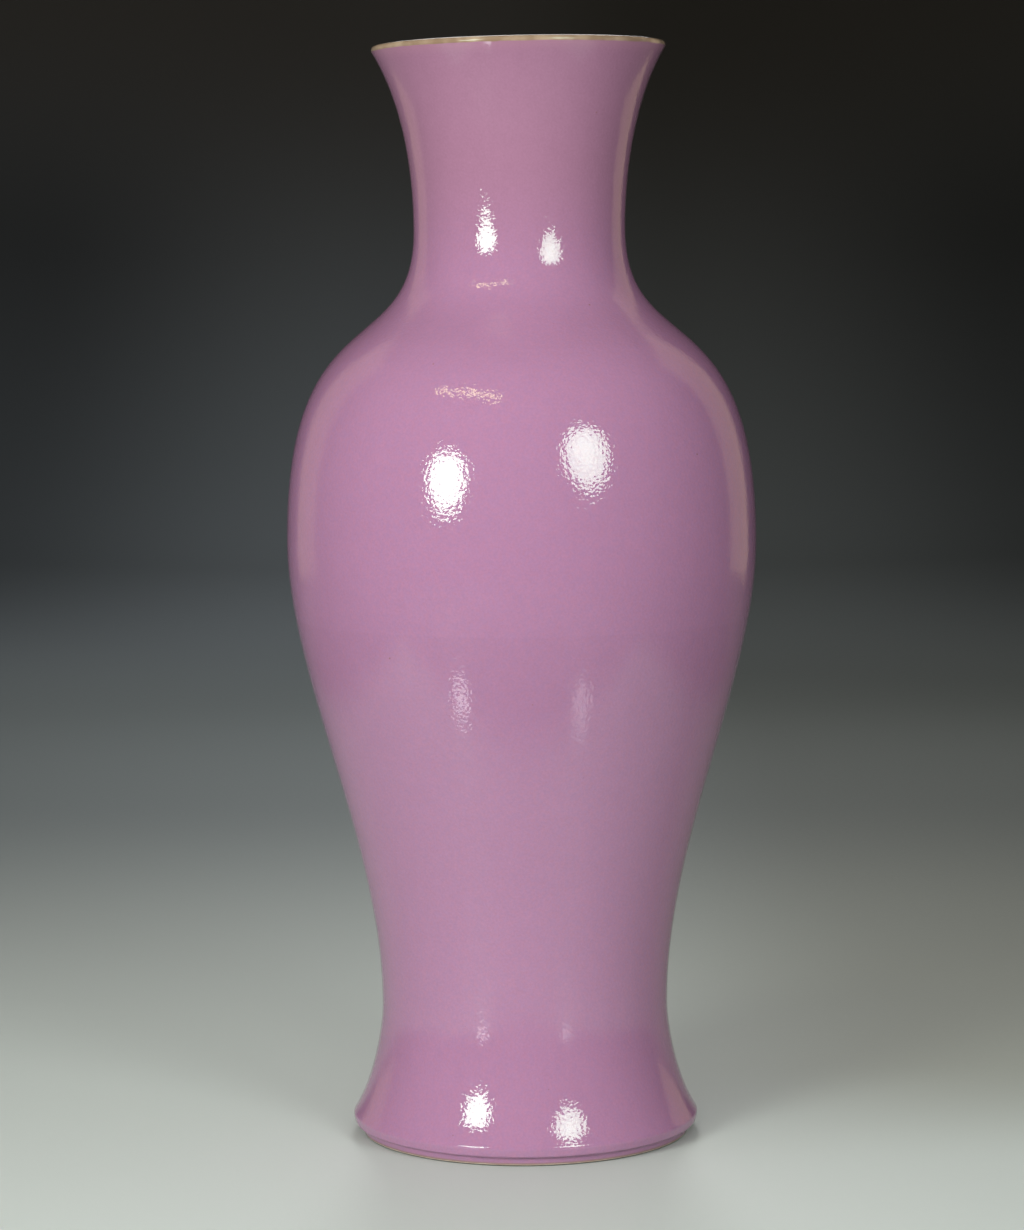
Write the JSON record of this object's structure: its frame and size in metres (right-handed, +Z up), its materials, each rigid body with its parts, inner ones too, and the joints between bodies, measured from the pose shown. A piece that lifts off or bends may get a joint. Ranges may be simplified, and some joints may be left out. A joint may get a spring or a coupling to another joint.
{
  "type": "baluster vase",
  "caption": "Tall baluster vase in lilac-glazed porcelain: flared mouth, narrow neck, high shoulder, waisted body and flared foot on a narrow foot ring.",
  "frame": {"origin": "centre of the foot ring's standing face, on the surface that the vase stands on", "axes": "+Z up the vase's axis, from the foot to the mouth; X and Y are equivalent, because the vase is round"},
  "size_m": [0.1934, 0.1934, 0.45],
  "materials": {
    "porcelain_body": "unglazed biscuit",
    "luting_slip": "fired slip",
    "lilac_enamel": "glossy, with a fine orange peel",
    "clear_glaze": "glossy"
  },
  "bodies": {
    "root": {"neck": "porcelain_body", "upper_body": "porcelain_body", "lower_body": "porcelain_body", "floor": "porcelain_body", "foot_ring": "porcelain_body", "shoulder_seam": "luting_slip", "belly_seam": "luting_slip", "foot_seam": "luting_slip", "floor_seam": "luting_slip", "outer_glaze": "lilac_enamel", "inner_glaze": "clear_glaze", "base_glaze": "clear_glaze"}
  },
  "joints": []
}
